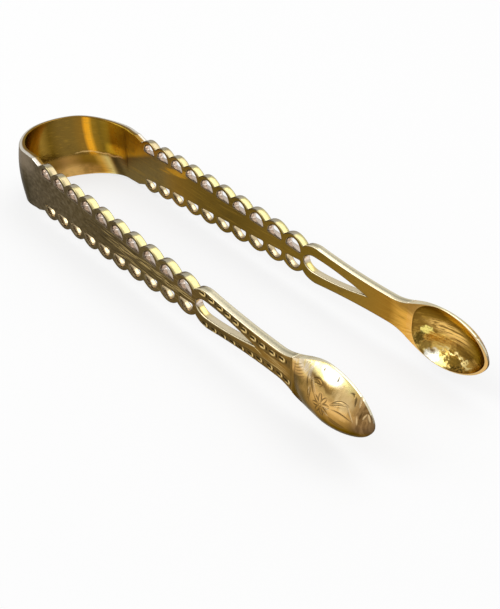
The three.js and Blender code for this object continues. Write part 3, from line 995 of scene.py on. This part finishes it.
def wall_tone(s, grain, inner, hole, edge):
    """Edges of the plates: painted light where they face up or toward the bowls, painted shade below,
    painted light and shade in the holes.
    """
    up, fore = s.mark("up"), s.mark("fore")
    at_bow = s.ease(s.x, 0.4, -0.6)
    crest = s.mix((s.x, 26, 6), (0.7, 0.62, 0.29), (0.52, 0.43, 0.25))
    # Stem tops: a painted highlight along both edges, darker in the middle
    rail = s.profile(inner, [
        (0, 1, 0.92, 0.68), (0.24, 1, 0.9, 0.64), (0.42, 0.62, 0.57, 0.4), (0.58, 0.62, 0.57, 0.4),
        (0.76, 1, 0.9, 0.64), (1, 1, 0.92, 0.68)])
    # Tops: painted light where they face the bowls, painted shade where they face the bow or down, and at
    # the bow a painted highlight on the outer half of the edge
    tops = s.layers(
        s.mix((fore, 0, 0.25), (0.62, 0.56, 0.42), crest),
        ((0.14, 0.105, 0.07), (fore, -0.15, -0.5)),
        (rail, (s.x, 61, 63)),
        (s.mix((inner, 0.3, 0.62), (1, 0.95, 0.84), (0.3, 0.17, 0.03)), at_bow),
        ((0.1, 0.07, 0.03), (up, 0.3, -0.3)))
    # Walls of the holes: painted light where they face up or toward the bowls, painted shade where they
    # face down or back
    low = s.mix((fore, -0.3, 0.3), (0.5, 0.39, 0.26), (1, 0.8, 0.48))
    drop = s.mix((s.x, 64.5, 62), (1, 0.87, 0.6), (0.9, 0.72, 0.28))
    lit = s.mix(s.both((s.z, -0.4, -0.8), (s.x, 60.6, 60.2)), (0.9, 0.77, 0.66), low)
    lit = s.mix((s.x, 60.4, 61), lit, drop)
    facing = s.plus(up, s.both(fore, 0.75))
    bores = s.mix((facing, -0.25, 0.25), (0.09, 0.06, 0.028), lit)
    # Rounded edges: a painted highlight where they face up, on the stem or toward the bowls away from the
    # holes, and painted shade on the others
    stem = s.ease(s.x, 60.2, 61)
    shine = s.both((up, 0.1, 0.6), s.math("MAXIMUM", stem, s.plus((fore, 0, 0.3), s.both(hole, -1))))
    lip = s.mix(shine, (0.085, 0.06, 0.026), s.mix(stem, (0.6, 0.5, 0.24), (1, 0.88, 0.58)))
    return s.layers(tops, (bores, hole), ((0.4, 0.3, 0.18), (grain, 0.45, 0.7, 0, 0.12)),
                    (s.mix(at_bow, lip, tops), edge))


def ray_rows(s, heel, light, dark):
    """Layers of light and dark lines in the heel, which fan from the middle of a bowl."""
    along = s.plus(s.x, -FAN_X)
    turn = s.math("ABSOLUTE", s.math("ARCTAN2", s.z, along))
    away = s.math("SQRT", s.plus(s.math("POWER", along, 2), s.math("POWER", s.z, 2)))
    fan = s.add("CombineXYZ", {0: s.both(turn, FAN_LINES), 1: s.both(away, FAN_WAVES)}).outputs[0]
    rays = s.noise((1, 1, 1), 3, vector=fan)
    return (light, heel, (rays, 0.5, 0.7, 0, 0.6)), (dark, heel, (rays, 0.46, 0.3, 0, 0.5))


def plate_material(name):
    """Old gilt brass of the bow, the arms and the seams: flats toned dark, on the outside as a painted dark
    reflection, polished bow, edges with painted highlights and painted shade.
    """
    s = Shader(name)
    blotch = s.noise((0.2, 0.2, 0.28), 5)
    mottle = s.noise((0.7, 0.7, 1.1), 4, 0.6)
    grain = s.noise((2.2, 2.2, 2.6), 4)
    brush = s.noise((0.1, 0.5, 3.4), 4)
    hatch = s.noise((0.18, 0.5, 6.5), 3)
    inner, wall, hole, edge = [s.mark(mark) for mark in ("inner", "wall", "hole", "edge")]
    heel = s.both((s.x, 80, 86), inner)
    colour = s.layers(
        s.mix(inner, outer_tone(s, mottle, hatch), inner_tone(s, blotch, brush)),
        ((0.05, 0.034, 0.012), (blotch, 0.52, 0.78, 0, 0.3)),
        ((0.42, 0.25, 0.035), (brush, 0.52, 0.72, 0, 0.35), inner),
        *ray_rows(s, heel, (0.95, 0.55, 0.1), (0.25, 0.12, 0.012)),
        # Painted shade on the upper heel of the inside
        ((0.32, 0.17, 0.03), (s.z, 0.9, 2.6), (s.x, 84, 87), inner, 0.85),
        ((0.1, 0.065, 0.02), s.mark("rail"), 0.6),
        # Dark cuts: hatching, and painted shadow lines beside the hooks
        ((0.02, 0.013, 0.004), s.mark("dark"), 0.85),
        ((0.85, 0.62, 0.25), s.mark("bright")),
        (wall_tone(s, grain, inner, hole, edge), wall))
    polish = s.both(inner, (s.x, -10, -13.5, 0, -0.2), (s.z, -3.4, -2.2, 0.1, 1))
    rough = s.plus((wall, 0, 1, 0.36, 0.24), polish, (grain, 0.3, 0.7, -0.05, 0.06))
    relief = s.plus(s.both(brush, 0.7), s.both(mottle, 0.6), s.both(grain, 0.25))
    return s.metal(colour, rough, s.both(relief, (wall, 0, 1, 1, 0.08)), 0.02)


def dome_tone(s, blotch, stripe):
    """Back of a bowl: pale gold crown with a painted highlight, brown band of painted reflection, striped
    heel, dark tip and painted shade on the lower side.
    """
    swell = s.ease(blotch, 0.25, 0.75, -0.6, 0.6)
    level = s.plus(s.z, swell, (s.x, 101, 106, 0, -1.8))
    slope = s.plus(s.z, s.both(s.plus(s.x, -91), -0.35))
    heel = s.mix((s.x, 90.5, 88.3), (0.125, 0.078, 0.015), (0.19, 0.11, 0.025))
    drop = s.plus(s.z, s.both(s.plus(s.x, -97.5), 0.06), -3.85, (blotch, 0.3, 0.7, -0.3, 0.3))
    lighter = s.both((stripe, 0.4, 0.62), (s.z, -0.5, 2.2, 0.35, 1))
    return s.layers(
        # Tone by height: painted shade low down, running to painted light at the top
        s.profile(level, [
            (-6, 0.045, 0.028, 0.009), (-3.2, 0.085, 0.052, 0.016), (-1.5, 0.27, 0.145, 0.03),
            (0, 0.44, 0.24, 0.055), (1.3, 0.68, 0.39, 0.11), (2.7, 0.7, 0.42, 0.14), (4, 0.9, 0.62, 0.2),
            (5.2, 1, 0.86, 0.36)]),
        # Painted highlight on the crown
        ((1, 0.97, 0.8), s.patch(97.6, 5, 2.2, 0.8, blotch, -0.1, 0.5)),
        # Dark heel as painted shade, with pale stripes above it
        (heel, (s.x, 96.2, 92.8), (swell, 0.6, -0.6, 0.6, 1), (slope, 2.7, 1.5), 0.9),
        ((1, 0.84, 0.6), (s.z, 2.9, 3.8), (s.x, 95, 93.4), (stripe, 0.42, 0.56, 0.15, 0.95)),
        # Brown band of painted reflection, the painted lit crown below it and a painted light patch on the
        # shoulder beyond it
        ((0.24, 0.125, 0.03), s.near(drop, 0.75, 0.15), (s.x, 92.6, 94.4), (s.x, 103, 97.5), 0.9),
        ((0.95, 0.58, 0.2), s.patch(99.5, 1.5, 3.4, 0.9, blotch, -0.25, 0.4), 0.6),
        ((1, 0.71, 0.32), s.patch(101.3, 3.2, 1.8, 1.3, stripe, -0.3, 0.8), 0.85),
        # Striped tip
        (s.mix(lighter, (0.15, 0.08, 0.033), (0.55, 0.33, 0.14)), (s.x, 102.4, 104.4, 0, 0.75)),
        ((0.08, 0.05, 0.03), (s.x, 105.2, 106.4, 0, 0.7)))


def hollow_tone(s, streak, speck, grain):
    """Inside of a bowl: olive gold with streaks, patches of painted light and painted shade, and a ragged
    painted glint line.
    """
    tone = s.mix((streak, 0.48, 0.66, 0, 0.65), (0.24, 0.13, 0.02), (0.5, 0.29, 0.05))
    # Painted shade toward the tip
    tone = s.mix((s.x, 99.5, 102.5, 0, 0.7), tone, (0.24, 0.135, 0.018))
    # Patches of painted highlight and painted shade. Each row has a share and a colour, then a patch's
    # place, half sizes, ragged edge, lean and softness
    for share, colour, *patch in (
            (0.6, (0.24, 0.13, 0.014), 92.8, 2.9, 3.4, 1.6, streak),
            ((streak, 0.4, 0.56), (1, 0.62, 0.18), 95.5, 0, 4.4, 1.4, streak, -0.2, 0.2),
            (0.9, (1, 0.58, 0.05), 98.6, 3, 4, 1.5, streak, -0.25, 0.3),
            (0.7, (0.75, 0.45, 0.1), 102, -3, 2.4, 0.9, streak, 0.5, 0.3),
            (0.85, (1, 0.66, 0.16), 93.6, -2.6, 3.2, 1.6, speck, 0, 0.4),
            (1, (1, 0.85, 0.24), 91.6, -1.1, 0.9, 0.8, grain, 0, 0.2),
            (0.9, (0.1, 0.065, 0.008), 90.8, -2.7, 0.7, 1.1, grain, 0, 0.2),
            (0.75, (0.25, 0.15, 0.025), 92.2, -3.6, 0.9, 0.8, grain, 0, 0.3),
            (1, (1, 0.82, 0.28), 95.6, -4.9, 2.6, 1, speck, -0.1, 0.4),
            (1, (1, 0.97, 0.85), 94.2, -4.9, 1.3, 1.1, speck, -0.2, 0.4),
            (0.95, (0.08, 0.046, 0.006), 98.6, -4.1, 2.7, 0.7, grain, 0.08, 0.2)):
        tone = s.layers(tone, (colour, s.patch(*patch), share))
    # Painted glint line across the lower part
    glint = s.near(s.plus(s.z, 3.2, (speck, 0.3, 0.7, -0.4, 0.4)), 0.26, 0.06)
    return s.layers(tone, ((1, 0.78, 0.32), glint, (s.x, 93.5, 94.8), (s.x, 103.4, 102), 0.9))


def bowl_material():
    """Gilt brass of the bowls: toned back with painted light and shade, streaked hollow, golden rim, lip
    with painted light above and painted shade below.
    """
    s = Shader("gilt_brass_bowl")
    blotch = s.noise((0.45, 0.45, 0.45), 5)
    grain = s.noise((2.4, 2.4, 2.4), 4)
    streak = s.noise((0.09, 1.2, 2.4), 5, 0.6)
    speck = s.noise((0.9, 0.9, 0.9), 2)
    stripe = s.noise((1.5, 0.5, 0.4), 3)
    hollow, on_rim = s.mark("hollow"), s.mark("rim")
    rim = s.layers(
        s.profile(s.x, [
            (88, 0.9, 0.47, 0.075), (90.2, 1, 0.6, 0.16), (93, 0.8, 0.56, 0.24), (104, 0.75, 0.5, 0.2),
            (106.3, 0.85, 0.5, 0.16)]),
        *ray_rows(s, s.ease(s.x, 92, 90.5), (1, 0.68, 0.22), (0.45, 0.22, 0.02)),
        # Painted shade on the upper heel of the rim
        ((0.4, 0.215, 0.045), (s.z, 0.9, 2.6), (s.x, 93.6, 91.6), 0.85))
    # Side walls: painted light on the upper part, painted shade below and at the tip
    upper = s.both((s.z, -0.5, 0.5), (s.x, 106.3, 105.4))
    colour = s.layers(
        s.mix(hollow, dome_tone(s, blotch, stripe), hollow_tone(s, streak, speck, grain)),
        (rim, on_rim),
        (s.mix(upper, (0.1, 0.062, 0.03), (1, 0.92, 0.66)), s.mark("side")),
        ((0.1, 0.055, 0.016), s.mark("cut"), 0.85),
        ((0.9, 0.64, 0.32), s.mark("gleam"), 0.85))
    rough = s.plus((hollow, 0, 1, 0.22, 0.18), s.both(on_rim, 0.12), s.both(hollow, (s.z, 0.5, 3, 0, 0.2)),
                   (s.x, 92, 89.5, 0, 0.18), (grain, 0.3, 0.7, -0.05, 0.06))
    dents = s.both(s.plus(streak, blotch), (hollow, 0, 1, 0.35, 1.5))
    # Grazing tint darker toward the lower side of the back: painted shade
    edge = s.profile(s.z, [(-4.6, 0.25, 0.2, 0.12), (-2.2, 0.48, 0.43, 0.34), (0, *EDGE_TINT)])
    tint = s.mix(hollow, edge, (0.6, 0.48, 0.28))
    return s.metal(colour, rough, s.plus(dents, s.both(grain, 0.2)), 0.06, tint)


# Stage, with a row for each window: its name, azimuth, elevation, distance, width, height and brightness
FLOOR_REACH = 3
WORLD_LIGHT = 0.65
PAPER_GLOW = 0.75
WINDOWS = (("back_window", 95, 63, 0.7, 0.75, 0.34, 1.4), ("left_window", -133, 47, 0.7, 0.42, 0.5, 1.8))


def paper_material():
    """White paper. It is part white to the camera and in the metal, so only a faint shadow stays on it."""
    s = Shader("pale_paper")
    s.fit(s.surface, {"Base Color": (0.97, 0.97, 0.97), "Roughness": 0.9, "Specular IOR Level": 0.1})
    rays = s.add("LightPath").outputs
    seen = s.plus(rays["Is Camera Ray"], rays["Is Glossy Ray"], rays["Is Transmission Ray"])
    share = s.both(s.math("MINIMUM", seen, 1), PAPER_GLOW)
    white = s.add("Emission").outputs[0]
    blend = s.add("MixShader", {0: share, 1: s.surface.outputs[0], 2: white})
    s.fit(s.output, {0: blend.outputs[0]})
    return s.material


def add_light(name, azimuth, elevation, distance, wide, tall, brightness):
    """Soft rectangle of light that faces the part, with its brightness as seen from there."""
    lamp = bpy.data.lights.new(name, "AREA")
    lamp.shape = "RECTANGLE"
    lamp.size, lamp.size_y = wide, tall
    lamp.energy = brightness * math.pi * wide * tall
    light = bpy.data.objects.new(name, lamp)
    turn, lift = math.radians(azimuth), math.radians(elevation)
    away = Vector((math.cos(lift) * math.cos(turn), math.cos(lift) * math.sin(turn), math.sin(lift)))
    light.location = away * distance
    light.rotation_mode = "QUATERNION"
    light.rotation_quaternion = away.to_track_quat("Z", "Y")
    bpy.context.collection.objects.link(light)


def build_stage():
    mesh = bpy.data.meshes.new("floor")
    corners = [(FLOOR_REACH * x, FLOOR_REACH * y, 0) for x, y in ((-1, -1), (1, -1), (1, 1), (-1, 1))]
    mesh.from_pydata(corners, [], [(0, 1, 2, 3)])
    mesh.materials.append(paper_material())
    floor = bpy.data.objects.new("floor", mesh)
    bpy.context.collection.objects.link(floor)
    world = bpy.data.worlds.new("studio")
    world.use_nodes = True
    world.node_tree.nodes["Background"].inputs[0].default_value = (1, 1, 1, 1)
    world.node_tree.nodes["Background"].inputs[1].default_value = WORLD_LIGHT
    bpy.context.scene.world = world
    for window in WINDOWS:
        add_light(*window)


# Camera at the photograph's place
IMAGE_HEIGHT = 609
FOCAL_PIXELS = 921.9
SENSOR_HEIGHT = 24
CLIP_START = 0.005
CAMERA_AT = (0.13813, -0.09204, 0.09787)
CAMERA_TURN = (57.592, 0.539, 52.477)


def build_camera():
    data = bpy.data.cameras.new("camera")
    data.sensor_fit = "VERTICAL"
    data.sensor_height = SENSOR_HEIGHT
    data.lens = FOCAL_PIXELS * SENSOR_HEIGHT / IMAGE_HEIGHT
    data.clip_start = CLIP_START
    camera = bpy.data.objects.new("camera", data)
    camera.location = CAMERA_AT
    camera.rotation_euler = [math.radians(a) for a in CAMERA_TURN]
    bpy.context.collection.objects.link(camera)
    bpy.context.scene.camera = camera


build_camera()
build_stage()
materials = {"arm": plate_material("gilt_brass_arm"), "bow": plate_material("gilt_brass_bow"),
             "solder": plate_material("gilt_solder"), "bowl": bowl_material()}
build_arms(materials)
build_bowls(materials)
build_bow(materials)
build_seams(materials)
bpy.context.scene.view_settings.view_transform = "Standard"
